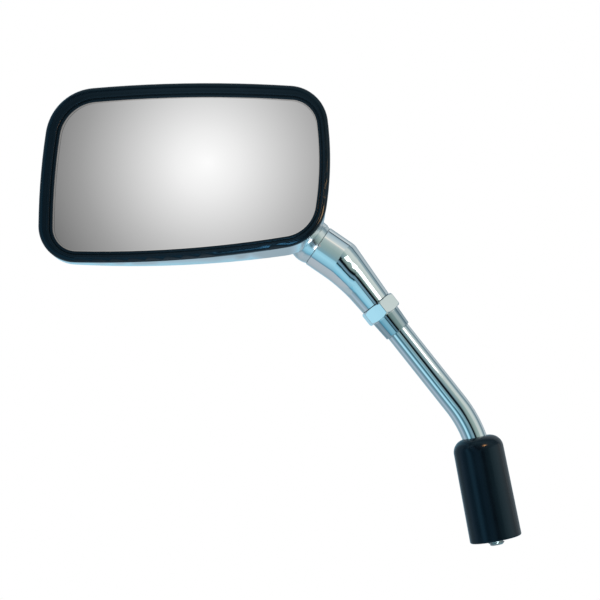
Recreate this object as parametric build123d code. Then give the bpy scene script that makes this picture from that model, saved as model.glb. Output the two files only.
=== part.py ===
from build123d import *
import math
import os

# A left-hand motorcycle mirror: rubber-rimmed glass in a chromed housing, a ball joint at the
# housing's corner, a cast elbow, a bent rod and a threaded base under a rubber boot.
# Millimetres. +Z runs up the mounting stud, the origin is on the stud's axis where its hexagon
# seats, and the glass faces -Y.

# Clearances
THREAD_GAP = 0.03
RUN_GAP = 0.08
SEAT_GAP = 0.05
BOOT_GAP = 0.15

# Base: stud with its hexagon, split washer and lock nut
STUD_DIA = 8.0
STUD_LENGTH = 17.4
STUD_CHAMFER = 1.0
BASE_HEX = 14.0
ADAPTER_HEIGHT = 12.0
ADAPTER_FLOOR = 3.0
WASHER_THICK = 2.2
WASHER_WIDTH = 2.8
WASHER_SPLIT = 1.4
WASHER_SPLIT_LEAN = 30.0
BASE_NUT_HEIGHT = 6.0
HEX_CHAMFER = 0.25
HEX_CHAMFER_ANGLE = 30.0
HEX_EDGE_ROUND = 0.4

# Bent rod
ROD_DIA = 12.0
ROD_THREAD_DIA = 10.0
ROD_CORNER_HEIGHT = 41.1
ROD_TILT = 27.4
ROD_BEND_RADIUS = 60.0
ROD_LENGTH = 70.2
ROD_END_CHAMFER = 0.8
ROD_SHOULDER = 0.4
ROD_MERGE = 1.0

# Lock nut under the elbow, with its tapered skirt
ARM_NUT_HEX = 17.0
ARM_NUT_HEIGHT = 7.2
ARM_NUT_TURN = 7.0
SKIRT_LENGTH = 10.0
SKIRT_WALL_TOP = 1.3
SKIRT_WALL_END = 0.7
SKIRT_ROUND = 0.5

# Rubber boot
BOOT_HEIGHT = 50.9
BOOT_DROP = 14.6
BOOT_DIA_TOP = 24.5
BOOT_DIA_END = 25.6
BOOT_WALL = 2.4
BOOT_CROWN = 5.0
BOOT_SHOULDER = 6.4
BOOT_LIP_ROUND = 0.8

# Cast elbow
ELBOW_DIA_END = 15.9
ELBOW_DIA_BEND = 18.9
ELBOW_DIA_LIP = 21.3
ELBOW_LOWER_LEG = 24.4
ELBOW_UPPER_LEG = 16.1
ELBOW_TILT = 44.5
ELBOW_END_ROUND = 0.5
ELBOW_LIP_ROUND = 0.3
# how far along the legs the bend is blended, outside and inside, and the stretch that keeps it tangent
ELBOW_OUTER_BLEND = 4.0
ELBOW_INNER_BLEND = 8.0
ELBOW_BLEND_LEAD = 0.3
ELBOW_THREAD_DEPTH = 15.0

# Ball joint between the elbow's cup and the housing's snout
SNOUT_STEP = 0.5
SNOUT_WALL = 2.3
SNOUT_SIDE_WALL = 2.35
JOINT_SETBACK = 4.0
CUP_EDGE = 0.35
LINER_THICK = 0.8
LINER_FROM = 6.8
LINER_TO = 9.6
PIVOT_DIA = 5.0
PIVOT_DEPTH = 8.5
PIVOT_CHAMFER = 0.6
PIVOT_PROUD = 1.0
SNOUT_HOLE_ROOM = 3.2
SNOUT_BORE_LENGTH = 19.0
DOME_THICK = 1.0
DOME_HOLE_ROOM = 1.7
DOME_SIDE_ROOM = 1.3
PRESSURE_CUP_TOP = 3.0
SPRING_DIA = 11.0
SPRING_THICK = 0.7
SPRING_CONE = 0.5
SPRING_COUNT = 4
PIVOT_WASHER_DIA = 11.0
PIVOT_WASHER_THICK = 1.0
PIVOT_NUT_HEX = 8.0
PIVOT_NUT_HEIGHT = 4.0

# Mirror head: its outline is drawn about its own centre, level, and then rolled with the arm
HEAD_ROLL = 11.0
HEAD_OFFSET = (-60.33, 31.98)
HEAD_LEFT = 71.1
# outline corners, clockwise from the top left: across, up, corner radius
RIM_CORNERS = (
    (-64.3, 39.5, 25.2),
    (65.4, 41.5, 19.0),
    (64.0, -32.6, 23.0),
    (-HEAD_LEFT, -42.0, 17.5),
)
# how far the top, right, bottom and left sides bow outwards
RIM_BOWS = (3.3, 4.6, 4.1, 2.6)
# how far the seam between rim and housing lies in front of the stem's plane
SEAM_DEPTH = 17.0
RIM_THICK = 4.9
RIM_ROUND = 2.6
RIM_WIDTH = 6.2
RIM_SHIFT = (0.9, -0.8)
BEAD_WIDTH = 1.3
BEAD_RISE = 0.3
GROOVE_WIDTH = 0.5
GROOVE_DEPTH = 0.9
RIDGE_WIDTH = 1.2
RIDGE_RISE = 0.8
RIDGE_ROUND = 0.3
TONGUE_WIDTH = 1.0
TONGUE_DEPTH = 3.0

# Glass, its pad and the plate behind
GLASS_RADIUS = 1300.0
GLASS_THICK = 2.5
GLASS_SETBACK = 1.5
GLASS_TUCK = 1.2
PAD_THICK = 3.2
PAD_HOLE_GAP = 0.3
PLATE_THICK = 0.8
SCREW_PLACES = ((-46.0, 22.0), (46.0, 24.0), (-50.0, -26.0), (18.0, -25.0))
SCREW_DIA = 3.0
SCREW_HEAD_DIA = 6.0
SCREW_HEAD_HEIGHT = 1.6
SCREW_HEAD_ROUND = 0.8
SCREW_DEPTH = 8.0
POST_DIA = 7.0

# Housing shell
SHELL_INSET = 0.6
SHELL_WALL = 1.2
SHELL_DEPTH = 34.0
SHELL_CROWN_RADIUS = 220.0
SHELL_TAPER = 5.0
SHELL_BACK_ROUND = 11.0
SHELL_EDGE_ROUND = 0.8
# how far behind the rim the shell is widest
SWELL_DEPTH = 8.0
# how far the shell's lower corners, right and left, drop below the rim's, and its lower side's bow
SHELL_DROP = (4.6, 0.9)
SHELL_LOW_BOW = 4.3
# neck sections behind the snout: distance in, half width, half depth, depth and drop of its middle
NECK_TURN = 17.0
NECK_START = 1.0
NECK_STEP = 0.15
NECK_SECTIONS = ((7.6, 15.0, 10.8, 0.0, 5.2), (26.0, 20.0, 7.0, -2.0, 2.0))
SNOUT_ROOT = 8.0
SNOUT_ZONE = 5.0

os.makedirs("parts", exist_ok=True)


def direction(tilt):
    """Unit vector in the XZ plane, leaning left of vertical by an angle."""
    lean = math.radians(tilt)
    return Vector(-math.sin(lean), 0, math.cos(lean))


# The stem's centre line: rod corner, elbow bend, lip of the elbow and centre of the ball joint
ROD_CORNER = Vector(0, 0, ROD_CORNER_HEIGHT)
ROD_AXIS = direction(ROD_TILT)
ELBOW_AXIS = direction(ELBOW_TILT)
ROD_TOP = ROD_CORNER + ROD_AXIS * ROD_LENGTH
ELBOW_END = ROD_TOP + ROD_AXIS * ARM_NUT_HEIGHT
ELBOW_BEND = ELBOW_END + ROD_AXIS * ELBOW_LOWER_LEG
ELBOW_LIP = ELBOW_BEND + ELBOW_AXIS * ELBOW_UPPER_LEG
JOINT_CENTRE = ELBOW_LIP + ELBOW_AXIS * JOINT_SETBACK

# Round sizes of the ball joint, from the elbow's cup inwards
SNOUT_DIA = ELBOW_DIA_LIP - 2 * SNOUT_STEP
SNOUT_BORE_DIA = SNOUT_DIA - 2 * SNOUT_SIDE_WALL
SNOUT_HOLE_DIA = PIVOT_DIA + 2 * SNOUT_HOLE_ROOM
DOME_HOLE_DIA = PIVOT_DIA + 2 * DOME_HOLE_ROOM
DOME_EDGE_DIA = SNOUT_BORE_DIA - 2 * DOME_SIDE_ROOM
CUP_RADIUS = math.hypot(JOINT_SETBACK, ELBOW_DIA_LIP / 2 - CUP_EDGE)
SNOUT_RADIUS = CUP_RADIUS - 2 * SEAT_GAP
SNOUT_INNER_RADIUS = SNOUT_RADIUS - SNOUT_WALL
DOME_RADIUS = SNOUT_INNER_RADIUS - RUN_GAP
PRESSURE_CUP_RADIUS = DOME_RADIUS - DOME_THICK - RUN_GAP
SPRING_PITCH = SPRING_THICK + SPRING_CONE + SEAT_GAP
SPRING_END = PRESSURE_CUP_TOP - SPRING_COUNT * SPRING_PITCH - SEAT_GAP
PIVOT_WASHER_END = SPRING_END - PIVOT_WASHER_THICK - SEAT_GAP
PIVOT_NUT_END = PIVOT_WASHER_END - PIVOT_NUT_HEIGHT

# Depths along Y, from the front of the rim to the back of the housing
RIM_BACK = -SEAM_DEPTH
RIM_FRONT = RIM_BACK - RIM_THICK
SHELL_BACK = RIM_BACK + SHELL_DEPTH
GLASS_APEX = RIM_FRONT + GLASS_SETBACK
GLASS_BACK = GLASS_APEX + GLASS_THICK
PLATE_FRONT = GLASS_BACK + PAD_THICK
PLATE_BACK = PLATE_FRONT + PLATE_THICK

# Planes whose Z runs up the rod, and from the joint's centre towards the elbow
ROD_PLANE = Plane(origin=ROD_CORNER, x_dir=(0, -1, 0), z_dir=ROD_AXIS)
JOINT_PLANE = Plane(origin=JOINT_CENTRE, x_dir=(0, -1, 0), z_dir=-ELBOW_AXIS)
NECK_AXIS = direction(ELBOW_TILT - NECK_TURN)
NECK_PLANE = Plane(origin=JOINT_CENTRE, x_dir=(0, -1, 0), z_dir=-NECK_AXIS)

# The head's own frame: X across, Y up the glass, Z towards the viewer
HEAD_PLANE = Plane(
    origin=JOINT_CENTRE,
    x_dir=(math.cos(math.radians(HEAD_ROLL)), 0, -math.sin(math.radians(HEAD_ROLL))),
    z_dir=(0, -1, 0),
)


STANDING = (Align.CENTER, Align.CENTER, Align.MIN)
# turns a sphere's poles away from its front
LYING = Rot(90, 0, 0)


def disc(plane, radius, low, high):
    """A round bar along a plane's axis, between two heights."""
    return plane * Pos(0, 0, low) * Cylinder(radius, high - low, align=STANDING)


def taper(plane, radius_low, radius_high, low, high):
    """A cone frustum along a plane's axis, between two heights."""
    return plane * Pos(0, 0, low) * Cone(radius_low, radius_high, high - low, align=STANDING)


def ball(radius):
    """A sphere about the centre of the ball joint."""
    return JOINT_PLANE * Sphere(radius)


def hexagon(plane, across_flats, low, high, turn=0.0):
    """A hexagon bar with softened edges and its corners chamfered at both ends."""
    corner = across_flats / math.sqrt(3)
    height = high - low
    bar = extrude(RegularPolygon(corner, 6, rotation=turn), height)
    bar = fillet(bar.edges().filter_by(Axis.Z), HEX_EDGE_ROUND)
    width = corner - across_flats / 2
    drop = width * math.tan(math.radians(HEX_CHAMFER_ANGLE)) + HEX_CHAMFER
    round_bar = disc(Plane.XY, corner, 0, height)
    round_bar = chamfer(round_bar.edges().filter_by(GeomType.CIRCLE), drop, width)
    return plane * Pos(0, 0, low) * (bar & round_bar)


def rounded_outline(corners, bows):
    """A four-sided outline with bowed sides and rounded corners, drawn clockwise."""
    points = [Vector(x, y) for x, y, _ in corners]
    sides = []
    for i, bow in enumerate(bows):
        a = points[i]
        b = points[(i + 1) % 4]
        along = (b - a).normalized()
        outwards = Vector(-along.Y, along.X)
        sides.append(ThreePointArc(a, (a + b) * 0.5 + outwards * bow, b))
    face = make_face(sides)
    for point, (_, _, radius) in zip(points, corners):
        near = face.vertices().sort_by_distance(point)[0]
        face = fillet(near, radius)
    return face


def slab(face, back, front):
    """A face of the head's outline made solid between two depths, both measured along Y."""
    return HEAD_PLANE * Pos(HEAD_OFFSET[0], HEAD_OFFSET[1], -back) * extrude(face, back - front)


def head_point(across, up):
    """The plane of a screw in the head, its Z towards the viewer."""
    return HEAD_PLANE * Pos(HEAD_OFFSET[0] + across, HEAD_OFFSET[1] + up, 0)


RIM_OUTLINE = rounded_outline(RIM_CORNERS, RIM_BOWS)
OPENING_OUTLINE = Pos(*RIM_SHIFT) * offset(RIM_OUTLINE, -RIM_WIDTH)


def opening(grow):
    """The rim's opening, made larger all round."""
    return offset(OPENING_OUTLINE, grow)


def shell_outline():
    """The shell's outline: the rim's, with its lower corners dropped towards the neck."""
    top_left, top_right, low_right, low_left = RIM_CORNERS
    low_right = (low_right[0], low_right[1] - SHELL_DROP[0], low_right[2])
    low_left = (low_left[0], low_left[1] - SHELL_DROP[1], low_left[2])
    top, right, _, left = RIM_BOWS
    return rounded_outline((top_left, top_right, low_right, low_left), (top, right, SHELL_LOW_BOW, left))


def rounded_front(solid, depth, radius):
    """A solid of the head with the edges of its front face rounded."""
    edges = [edge for edge in solid.edges() if abs(edge.center().Y - depth) < SEAT_GAP]
    return fillet(edges, radius)


def base_adapter():
    """Turned hexagon with the mounting stud below and a threaded socket above."""
    body = hexagon(Plane.XY, BASE_HEX, 0, ADAPTER_HEIGHT)
    stud = disc(Plane.XY, STUD_DIA / 2, -STUD_LENGTH, ADAPTER_FLOOR)
    stud = chamfer(stud.edges().sort_by(Axis.Z)[0], STUD_CHAMFER)
    socket = disc(Plane.XY, ROD_THREAD_DIA / 2 + THREAD_GAP, ADAPTER_FLOOR, ADAPTER_HEIGHT)
    return body + stud - socket


def base_spring_washer():
    """Split lock washer on the rod's lower thread."""
    low = ADAPTER_HEIGHT
    inner = ROD_THREAD_DIA / 2 + THREAD_GAP
    ring = disc(Plane.XY, inner + WASHER_WIDTH, low, low + WASHER_THICK)
    ring -= disc(Plane.XY, inner, low, low + WASHER_THICK)
    split = Box(2 * WASHER_WIDTH, WASHER_SPLIT, ADAPTER_HEIGHT)
    place = Pos(inner + WASHER_WIDTH / 2, 0, low + WASHER_THICK / 2)
    return ring - place * Rot(WASHER_SPLIT_LEAN, 0, 0) * split


BASE_NUT_LOW = ADAPTER_HEIGHT + WASHER_THICK
BASE_NUT_TOP = BASE_NUT_LOW + BASE_NUT_HEIGHT


def base_lock_nut():
    """Nut that locks the rod's lower thread in the adapter."""
    nut = hexagon(Plane.XY, BASE_HEX, BASE_NUT_LOW, BASE_NUT_TOP, turn=30)
    return nut - disc(Plane.XY, ROD_THREAD_DIA / 2 + THREAD_GAP, BASE_NUT_LOW, BASE_NUT_TOP)


def rod_bar(radius):
    """The rod's full-diameter stretch, bent once, at any radius."""
    start = Vector(0, 0, BASE_NUT_TOP + ROD_SHOULDER)
    path = FilletPolyline(start, ROD_CORNER, ROD_TOP, radius=ROD_BEND_RADIUS)
    return sweep(Plane(start, z_dir=(0, 0, 1)) * Circle(radius), path=path)


def stem_rod():
    """Chromed rod with a reduced thread at each end."""
    shoulder = BASE_NUT_TOP + ROD_SHOULDER
    low = disc(Plane.XY, ROD_THREAD_DIA / 2, ADAPTER_FLOOR + SEAT_GAP, shoulder + ROD_MERGE)
    low = chamfer(low.edges().sort_by(Axis.Z)[0], ROD_END_CHAMFER)
    top = ROD_LENGTH + ARM_NUT_HEIGHT + ELBOW_THREAD_DEPTH - SEAT_GAP
    high = disc(Plane.XY, ROD_THREAD_DIA / 2, ROD_LENGTH - ROD_MERGE, top)
    high = ROD_PLANE * chamfer(high.edges().sort_by(Axis.Z)[-1], ROD_END_CHAMFER)
    return rod_bar(ROD_DIA / 2) + low + high


def arm_lock_nut():
    """Hexagon nut with a tapered skirt over the rod's end, locked against the elbow."""
    top = ROD_LENGTH + ARM_NUT_HEIGHT - SEAT_GAP
    nut = hexagon(ROD_PLANE, ARM_NUT_HEX, ROD_LENGTH, top, turn=ARM_NUT_TURN)
    low = ROD_LENGTH - SKIRT_LENGTH
    inner = ROD_DIA / 2 + RUN_GAP
    skirt = taper(Plane.XY, inner + SKIRT_WALL_END, inner + SKIRT_WALL_TOP, low, ROD_LENGTH)
    skirt = ROD_PLANE * fillet(skirt.edges().sort_by(Axis.Z)[0], SKIRT_ROUND)
    bore = disc(ROD_PLANE, inner, low, ROD_LENGTH + ROD_SHOULDER)
    thread = disc(ROD_PLANE, ROD_THREAD_DIA / 2 + THREAD_GAP, ROD_LENGTH, top)
    return nut + skirt - bore - thread


def rubber_boot():
    """Moulded boot over the base, open below, gripping the rod at its top."""
    top = BOOT_HEIGHT - BOOT_DROP
    outer = taper(Plane.XY, BOOT_DIA_END / 2, BOOT_DIA_TOP / 2, -BOOT_DROP, top)
    outer = fillet(outer.edges().sort_by(Axis.Z)[-1], BOOT_SHOULDER)
    wide = BOOT_DIA_END / 2 - BOOT_WALL
    narrow = BOOT_DIA_TOP / 2 - BOOT_WALL
    inner = taper(Plane.XY, wide, narrow, -BOOT_DROP, top - BOOT_CROWN)
    inner = fillet(inner.edges().sort_by(Axis.Z)[-1], BOOT_SHOULDER - BOOT_WALL)
    shell = outer - inner
    shell = fillet(shell.edges().group_by(Axis.Z)[0], BOOT_LIP_ROUND)
    return shell - rod_bar(ROD_DIA / 2 + BOOT_GAP)


def lower_leg_radius(along):
    """Radius of the elbow's lower leg, given the distance along its axis from the bend."""
    share = 1 + along / ELBOW_LOWER_LEG
    return ELBOW_DIA_END / 2 * (1 - share) + ELBOW_DIA_BEND / 2 * share


def elbow_plane(point, tilt):
    """A section plane of the elbow, its X towards the outside of the bend."""
    lean = math.radians(tilt)
    return Plane(origin=point, x_dir=(math.cos(lean), 0, math.sin(lean)), z_dir=direction(tilt))


def bend_corner(side):
    """Where the legs' edges meet outside (1) or inside (-1) the bend: distances along each leg's axis."""
    turn = math.radians(ELBOW_TILT - ROD_TILT)
    taper_rate = lower_leg_radius(1) - lower_leg_radius(0)
    lower = ELBOW_DIA_LIP / 2 - lower_leg_radius(0) * math.cos(turn)
    lower = lower / (side * math.sin(turn) + taper_rate * math.cos(turn))
    upper = lower * math.cos(turn) - side * lower_leg_radius(lower) * math.sin(turn)
    return lower, upper


def lower_blend():
    """Where the bend's blend begins: distance along the lower leg's axis, and the section's tilt."""
    outer = bend_corner(1)[0] - ELBOW_OUTER_BLEND
    inner = bend_corner(-1)[0] - ELBOW_INNER_BLEND
    width = lower_leg_radius(outer) + lower_leg_radius(inner)
    along = inner + (outer - inner) * lower_leg_radius(inner) / width
    return along, ROD_TILT + math.degrees(math.atan2(outer - inner, width))


def upper_blend():
    """Where the bend's blend ends: distance along the upper leg's axis, and the section's tilt."""
    outer = bend_corner(1)[1] + ELBOW_OUTER_BLEND
    inner = bend_corner(-1)[1] + ELBOW_INNER_BLEND
    return (outer + inner) / 2, ELBOW_TILT + math.degrees(math.atan2(outer - inner, ELBOW_DIA_LIP))


def lower_section(along, tilt):
    """Slanting section of the elbow's tapered lower leg."""
    slant = math.radians(tilt - ROD_TILT)
    cone = math.atan(lower_leg_radius(1) - lower_leg_radius(0))
    radius = lower_leg_radius(along) * math.cos(cone)
    outer = radius / math.cos(slant + cone)
    inner = radius / math.cos(slant - cone)
    middle = (outer - inner) / 2
    across = lower_leg_radius(along + middle * math.sin(slant))
    across = math.sqrt(across**2 - (middle * math.cos(slant)) ** 2)
    plane = elbow_plane(ELBOW_BEND + ROD_AXIS * along, tilt)
    return plane * Pos(middle, 0) * Ellipse((outer + inner) / 2, across)


def upper_section(along, tilt):
    """Slanting section of the elbow's upper leg."""
    radius = ELBOW_DIA_LIP / 2
    slant = math.radians(tilt - ELBOW_TILT)
    return elbow_plane(ELBOW_BEND + ELBOW_AXIS * along, tilt) * Ellipse(radius / math.cos(slant), radius)


def arm_elbow():
    """Cast elbow: a fat upper leg ending in a spherical cup and a tapered, threaded lower leg."""
    end = ROD_LENGTH + ARM_NUT_HEIGHT
    low, low_tilt = lower_blend()
    high, high_tilt = upper_blend()
    tall = ELBOW_LOWER_LEG + ELBOW_OUTER_BLEND
    lower = taper(Plane.XY, ELBOW_DIA_END / 2, lower_leg_radius(ELBOW_OUTER_BLEND), 0, tall)
    lower = fillet(lower.edges().sort_by(Axis.Z)[0], ELBOW_END_ROUND)
    lower = ROD_PLANE * Pos(0, 0, end) * lower
    lower = split(lower, elbow_plane(ELBOW_BEND + ROD_AXIS * low, low_tilt), keep=Keep.BOTTOM)
    upper = disc(Plane.XY, ELBOW_DIA_LIP / 2, JOINT_SETBACK, JOINT_SETBACK + ELBOW_UPPER_LEG)
    upper = JOINT_PLANE * fillet(upper.edges().sort_by(Axis.Z)[0], ELBOW_LIP_ROUND)
    upper = split(upper, elbow_plane(ELBOW_BEND + ELBOW_AXIS * high, high_tilt), keep=Keep.TOP)
    sections = [
        lower_section(low, low_tilt),
        lower_section(low + ELBOW_BLEND_LEAD, low_tilt),
        upper_section(high - ELBOW_BLEND_LEAD, high_tilt),
        upper_section(high, high_tilt),
    ]
    body = upper + loft(sections) + lower
    cup = ball(CUP_RADIUS)
    thread = disc(ROD_PLANE, ROD_THREAD_DIA / 2 + THREAD_GAP, end, end + ELBOW_THREAD_DEPTH)
    stud_hole = disc(JOINT_PLANE, PIVOT_DIA / 2 + THREAD_GAP, 0, CUP_RADIUS + PIVOT_DEPTH)
    recess = ball(CUP_RADIUS + LINER_THICK) & disc(JOINT_PLANE, ELBOW_DIA_LIP, LINER_FROM, LINER_TO)
    return body - cup - thread - stud_hole - recess


def cup_liner():
    """Nylon ring let into the elbow's cup, on which the housing's snout turns."""
    ring = ball(CUP_RADIUS + LINER_THICK - SEAT_GAP) - ball(CUP_RADIUS - SEAT_GAP)
    return ring & disc(JOINT_PLANE, ELBOW_DIA_LIP, LINER_FROM + SEAT_GAP, LINER_TO - SEAT_GAP)


def pivot_stud():
    """Stud in the elbow that pulls the joint together through the snout's hole."""
    high = CUP_RADIUS + PIVOT_DEPTH - SEAT_GAP
    stud = disc(Plane.XY, PIVOT_DIA / 2, PIVOT_NUT_END - PIVOT_PROUD, high)
    return JOINT_PLANE * chamfer(stud.edges().filter_by(GeomType.CIRCLE), PIVOT_CHAMFER)


def pressure_cup():
    """Steel cup with a spherical underside, pressed into the snout by the disc springs."""
    cup = ball(PRESSURE_CUP_RADIUS) & disc(JOINT_PLANE, SNOUT_DIA, PRESSURE_CUP_TOP, SNOUT_DIA)
    return cup - disc(JOINT_PLANE, PIVOT_DIA / 2 + RUN_GAP, 0, SNOUT_DIA)


def friction_dome():
    """Nylon dome between the pressure cup and the inside of the snout."""
    dome = ball(DOME_RADIUS) - ball(DOME_RADIUS - DOME_THICK)
    dome = dome & disc(JOINT_PLANE, DOME_EDGE_DIA / 2, 0, SNOUT_DIA)
    return dome - disc(JOINT_PLANE, DOME_HOLE_DIA / 2, 0, SNOUT_DIA)


def disc_spring(top, flip):
    """One conical disc spring hanging from a height along the joint's axis."""
    inner = PIVOT_DIA / 2 + RUN_GAP
    outer = SPRING_DIA / 2
    inner_top = top - SPRING_CONE if flip else top
    outer_top = top if flip else top - SPRING_CONE
    ring = Polyline(
        (inner, 0, inner_top),
        (outer, 0, outer_top),
        (outer, 0, outer_top - SPRING_THICK),
        (inner, 0, inner_top - SPRING_THICK),
        close=True,
    )
    return JOINT_PLANE * revolve(make_face(ring), Axis.Z)


def pivot_springs():
    """Stack of disc springs, turned over one after another."""
    tops = [PRESSURE_CUP_TOP - SEAT_GAP - i * SPRING_PITCH for i in range(SPRING_COUNT)]
    return Compound([disc_spring(top, i % 2 == 0).solid() for i, top in enumerate(tops)])


def pivot_washer():
    """Plain washer between the springs and the nut."""
    washer = disc(JOINT_PLANE, PIVOT_WASHER_DIA / 2, PIVOT_WASHER_END, SPRING_END)
    return washer - disc(JOINT_PLANE, PIVOT_DIA / 2 + RUN_GAP, PIVOT_WASHER_END, SPRING_END)


def pivot_nut():
    """Self-locking nut that sets how stiffly the head turns."""
    top = PIVOT_WASHER_END - SEAT_GAP
    nut = hexagon(JOINT_PLANE, PIVOT_NUT_HEX, PIVOT_NUT_END, top)
    return nut - disc(JOINT_PLANE, PIVOT_DIA / 2 + THREAD_GAP, PIVOT_NUT_END, top)


def shell_form(outline, inset, back):
    """A pillow form that swells from the rim's outline to a wider one, with a crowned back."""
    front = Pos(0, 0, -RIM_BACK) * offset(RIM_OUTLINE, -inset)
    wide = Pos(0, 0, -RIM_BACK - SWELL_DEPTH) * offset(outline, -inset)
    depth = back - RIM_BACK - SWELL_DEPTH + SHELL_BACK_ROUND
    form = loft([front, wide], ruled=True) + extrude(wide, depth, dir=(0, 0, -1), taper=SHELL_TAPER)
    crown_radius = SHELL_CROWN_RADIUS - inset
    form = form & Pos(0, 0, crown_radius - back) * Sphere(crown_radius)
    form = fillet(form.faces().filter_by(GeomType.SPHERE).edges(), SHELL_BACK_ROUND - inset)
    return HEAD_PLANE * Pos(*HEAD_OFFSET, 0) * form


def neck_form():
    """The neck: a loft that widens from the snout into the housing's corner."""
    sections = [NECK_PLANE * Pos(0, 0, -NECK_START) * Circle(SNOUT_RADIUS + NECK_STEP)]
    for inwards, half_width, half_depth, depth, drop in NECK_SECTIONS:
        sections.append(NECK_PLANE * Pos(-depth, drop, -inwards) * Ellipse(half_depth, half_width))
    return loft(sections, ruled=True)


def screw_post(across, up):
    """A screw's post on the inside of the housing."""
    return disc(head_point(across, up), POST_DIA / 2, -SHELL_BACK, -PLATE_BACK - SEAT_GAP)


def snout_form():
    """The outside of the housing's snout: the ball that sits in the elbow's cup."""
    radius = math.sqrt(SNOUT_RADIUS**2 - SNOUT_ZONE**2)
    outline = [
        Polyline((0, 0, -SNOUT_ROOT), (radius, 0, -SNOUT_ROOT), (radius, 0, -SNOUT_ZONE)),
        ThreePointArc((radius, 0, -SNOUT_ZONE), (SNOUT_RADIUS, 0, 0), (0, 0, SNOUT_RADIUS)),
        Line((0, 0, SNOUT_RADIUS), (0, 0, -SNOUT_ROOT)),
    ]
    return JOINT_PLANE * revolve(make_face(outline), Axis.Z)


def snout_hollow():
    """The room inside the snout: a bore, a spherical seat and the hole for the pivot stud."""
    bore = SNOUT_BORE_DIA / 2
    hole = SNOUT_HOLE_DIA / 2
    seat_low = math.sqrt(SNOUT_INNER_RADIUS**2 - bore**2)
    seat_high = math.sqrt(SNOUT_INNER_RADIUS**2 - hole**2)
    middle = (math.atan2(bore, seat_low) + math.atan2(hole, seat_high)) / 2
    outline = [
        Polyline((0, 0, -SNOUT_BORE_LENGTH), (bore, 0, -SNOUT_BORE_LENGTH), (bore, 0, seat_low)),
        ThreePointArc(
            (bore, 0, seat_low),
            (SNOUT_INNER_RADIUS * math.sin(middle), 0, SNOUT_INNER_RADIUS * math.cos(middle)),
            (hole, 0, seat_high),
        ),
        Polyline(
            (hole, 0, seat_high),
            (hole, 0, SNOUT_DIA),
            (0, 0, SNOUT_DIA),
            (0, 0, -SNOUT_BORE_LENGTH),
        ),
    ]
    return JOINT_PLANE * revolve(make_face(outline), Axis.Z)


def housing_shell():
    """Chromed housing with its corner neck and the hollow snout of the ball joint."""
    outside = shell_form(shell_outline(), SHELL_INSET, SHELL_BACK)
    outside = rounded_front(outside, RIM_BACK, SHELL_EDGE_ROUND)
    inside = shell_form(RIM_OUTLINE, SHELL_INSET + SHELL_WALL, SHELL_BACK - SHELL_WALL)
    shell = outside + neck_form() - inside + snout_form()
    for across, up in SCREW_PLACES:
        shell += screw_post(across, up) & outside
    for across, up in SCREW_PLACES:
        hole_end = -PLATE_FRONT - SCREW_DEPTH
        shell -= disc(head_point(across, up), SCREW_DIA / 2 + THREAD_GAP, hole_end, -RIM_FRONT)
    return shell - snout_hollow()


def glass_form(grow, front, back):
    """The convex glass, or the room it takes, between two depths at its middle."""
    block = slab(opening(GLASS_TUCK + grow), RIM_BACK + GLASS_THICK, RIM_FRONT - RIM_ROUND)
    middle = head_point(0, 0)
    outer = middle * Pos(0, 0, -front - GLASS_RADIUS) * LYING * Sphere(GLASS_RADIUS)
    inner = middle * Pos(0, 0, -back - GLASS_RADIUS) * LYING * Sphere(GLASS_RADIUS)
    return (block & outer) - inner


def mirror_glass():
    """Convex silvered glass."""
    return glass_form(0, GLASS_APEX, GLASS_BACK)


def rim_gasket():
    """Moulded rubber rim: a rounded band, a ridge, a groove and a bead that holds the glass."""
    band = rounded_front(slab(RIM_OUTLINE, RIM_BACK, RIM_FRONT), RIM_FRONT, RIM_ROUND)
    groove_edge = BEAD_WIDTH + GROOVE_WIDTH
    ridge_edge = groove_edge + RIDGE_WIDTH
    ridge_front = RIM_FRONT - RIDGE_RISE
    bead_front = RIM_FRONT - BEAD_RISE
    ridge = slab(opening(ridge_edge) - opening(groove_edge), RIM_BACK, ridge_front)
    bead = slab(opening(BEAD_WIDTH) - opening(0), RIM_BACK, bead_front)
    groove = slab(opening(groove_edge) - opening(BEAD_WIDTH), RIM_FRONT + GROOVE_DEPTH, RIM_FRONT)
    hole = slab(OPENING_OUTLINE, RIM_BACK + TONGUE_DEPTH, ridge_front)
    body = band - groove - hole
    body += rounded_front(ridge, ridge_front, RIDGE_ROUND)
    body += rounded_front(bead, bead_front, RIDGE_ROUND)
    draft = TONGUE_DEPTH * math.tan(math.radians(SHELL_TAPER))
    tongue_out = SHELL_INSET + SHELL_WALL + draft + 2 * SEAT_GAP
    tongue_in = tongue_out + TONGUE_WIDTH
    tongue_face = offset(RIM_OUTLINE, -tongue_out) - offset(RIM_OUTLINE, -tongue_in)
    tongue = slab(tongue_face, RIM_BACK + TONGUE_DEPTH, RIM_BACK)
    room = glass_form(SEAT_GAP, GLASS_APEX - SEAT_GAP, GLASS_BACK + GLASS_THICK)
    return body + tongue - room


def glass_pad():
    """Foam pad that fills the space between the glass and the plate."""
    block = slab(opening(0), PLATE_FRONT - SEAT_GAP, GLASS_APEX)
    bed = GLASS_BACK + SEAT_GAP
    pad = block & head_point(0, 0) * Pos(0, 0, -bed - GLASS_RADIUS) * LYING * Sphere(GLASS_RADIUS)
    for across, up in SCREW_PLACES:
        pad -= disc(head_point(across, up), SCREW_HEAD_DIA / 2 + PAD_HOLE_GAP, 0, -RIM_FRONT)
    return pad


def backing_plate():
    """Pressed steel plate screwed to the housing's posts."""
    plate = slab(opening(0), PLATE_BACK, PLATE_FRONT)
    for across, up in SCREW_PLACES:
        plate -= disc(head_point(across, up), SCREW_DIA / 2 + RUN_GAP, 0, -RIM_FRONT)
    return plate


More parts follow.
